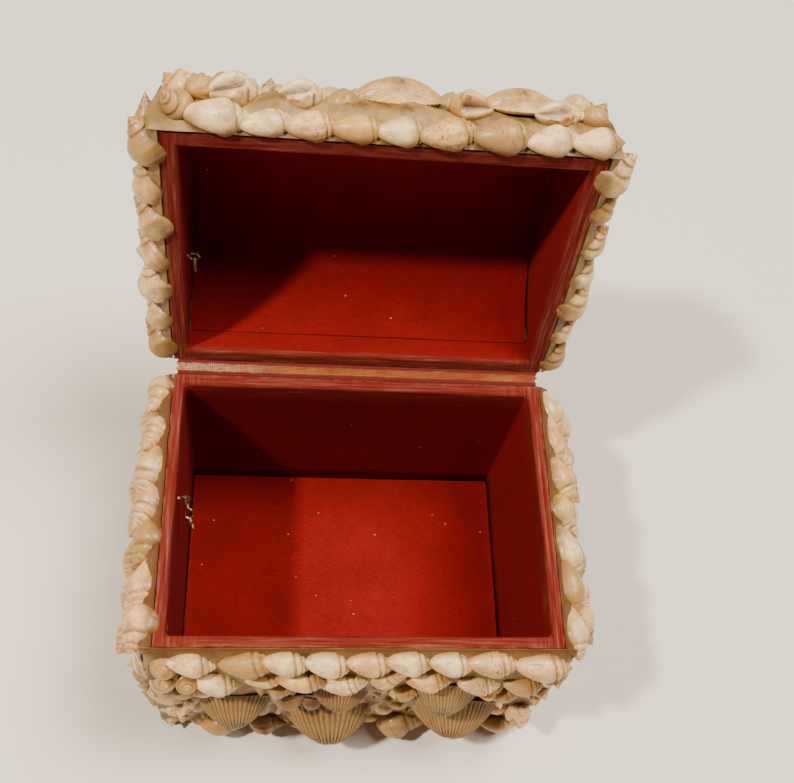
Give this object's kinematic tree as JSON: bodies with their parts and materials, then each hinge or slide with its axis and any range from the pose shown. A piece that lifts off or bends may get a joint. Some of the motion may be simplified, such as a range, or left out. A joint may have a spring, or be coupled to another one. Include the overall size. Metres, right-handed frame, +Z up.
{
  "type": "shell box",
  "caption": "Hinged casket with an arched lid, lined in red cloth and covered all over with sea shells, for keeping small things in.",
  "frame": {"origin": "centre of the base's underside, on the surface that the box stands on", "axes": "+Z up, +X along the front towards the right seen from the front, +Y from the front to the hinge at the back"},
  "size_m": [0.1422, 0.161, 0.1731],
  "materials": {
    "card": "matt buff card, hidden under the lining and the shells",
    "red_lining": "deep red flocked cloth with a short soft pile, worn pinkish on the rims",
    "cloth_tape": "finely woven tan tape, worn whitish and frayed at its ends",
    "stay_brass": "dull tarnished wire",
    "pale_shell": "cream spired shell, thinly varnished",
    "tan_shell": "ribbed tan shell, thinly varnished",
    "shell_coat": "mixed cream, tan and brown shells set in amber glue"
  },
  "bodies": {
    "base": {"base_carcass": "card", "base_wall_lining": "red_lining", "base_floor_lining": "red_lining", "hinge_tape_base_flap": "cloth_tape", "base_stay_eye": "stay_brass", "base_stay_links": "stay_brass", "base_rim_whelk_1": "pale_shell", "base_rim_whelk_2": "pale_shell", "base_rim_whelk_3": "pale_shell", "base_rim_whelk_4": "pale_shell", "base_rim_whelk_5": "pale_shell", "base_rim_whelk_6": "pale_shell", "base_rim_whelk_7": "pale_shell", "base_rim_whelk_8": "pale_shell", "base_rim_whelk_9": "pale_shell", "base_front_ark_1": "tan_shell", "base_front_ark_2": "tan_shell", "base_front_ark_3": "tan_shell", "base_front_cockle_1": "tan_shell", "base_front_cockle_2": "tan_shell", "base_front_coat": "shell_coat", "base_left_coat": "shell_coat", "base_right_coat": "shell_coat", "base_back_coat": "shell_coat"},
    "lid": {"lid_carcass": "card", "lid_wall_lining": "red_lining", "lid_vault_lining": "red_lining", "hinge_tape_lid_flap": "cloth_tape", "lid_stay_eye": "stay_brass", "lid_stay_links": "stay_brass", "lid_rim_whelk_1": "pale_shell", "lid_rim_whelk_2": "pale_shell", "lid_rim_whelk_3": "pale_shell", "lid_rim_whelk_4": "pale_shell", "lid_rim_whelk_5": "pale_shell", "lid_rim_whelk_6": "pale_shell", "lid_rim_whelk_7": "pale_shell", "lid_rim_whelk_8": "pale_shell", "lid_rim_whelk_9": "pale_shell", "lid_front_cockle_1": "tan_shell", "lid_front_cockle_2": "tan_shell", "lid_front_coat": "shell_coat", "lid_upper_front_coat": "shell_coat", "lid_crown_coat": "shell_coat", "lid_upper_back_coat": "shell_coat", "lid_back_coat": "shell_coat", "lid_left_coat": "shell_coat", "lid_right_coat": "shell_coat"}
  },
  "joints": [
    {"name": "lid_hinge", "type": "hinge", "parent": "base", "child": "lid", "pos_m": [0, 0.0469, 0.0763], "axis": [1, 0, 0], "range_deg": [0, 99.6]}
  ]
}
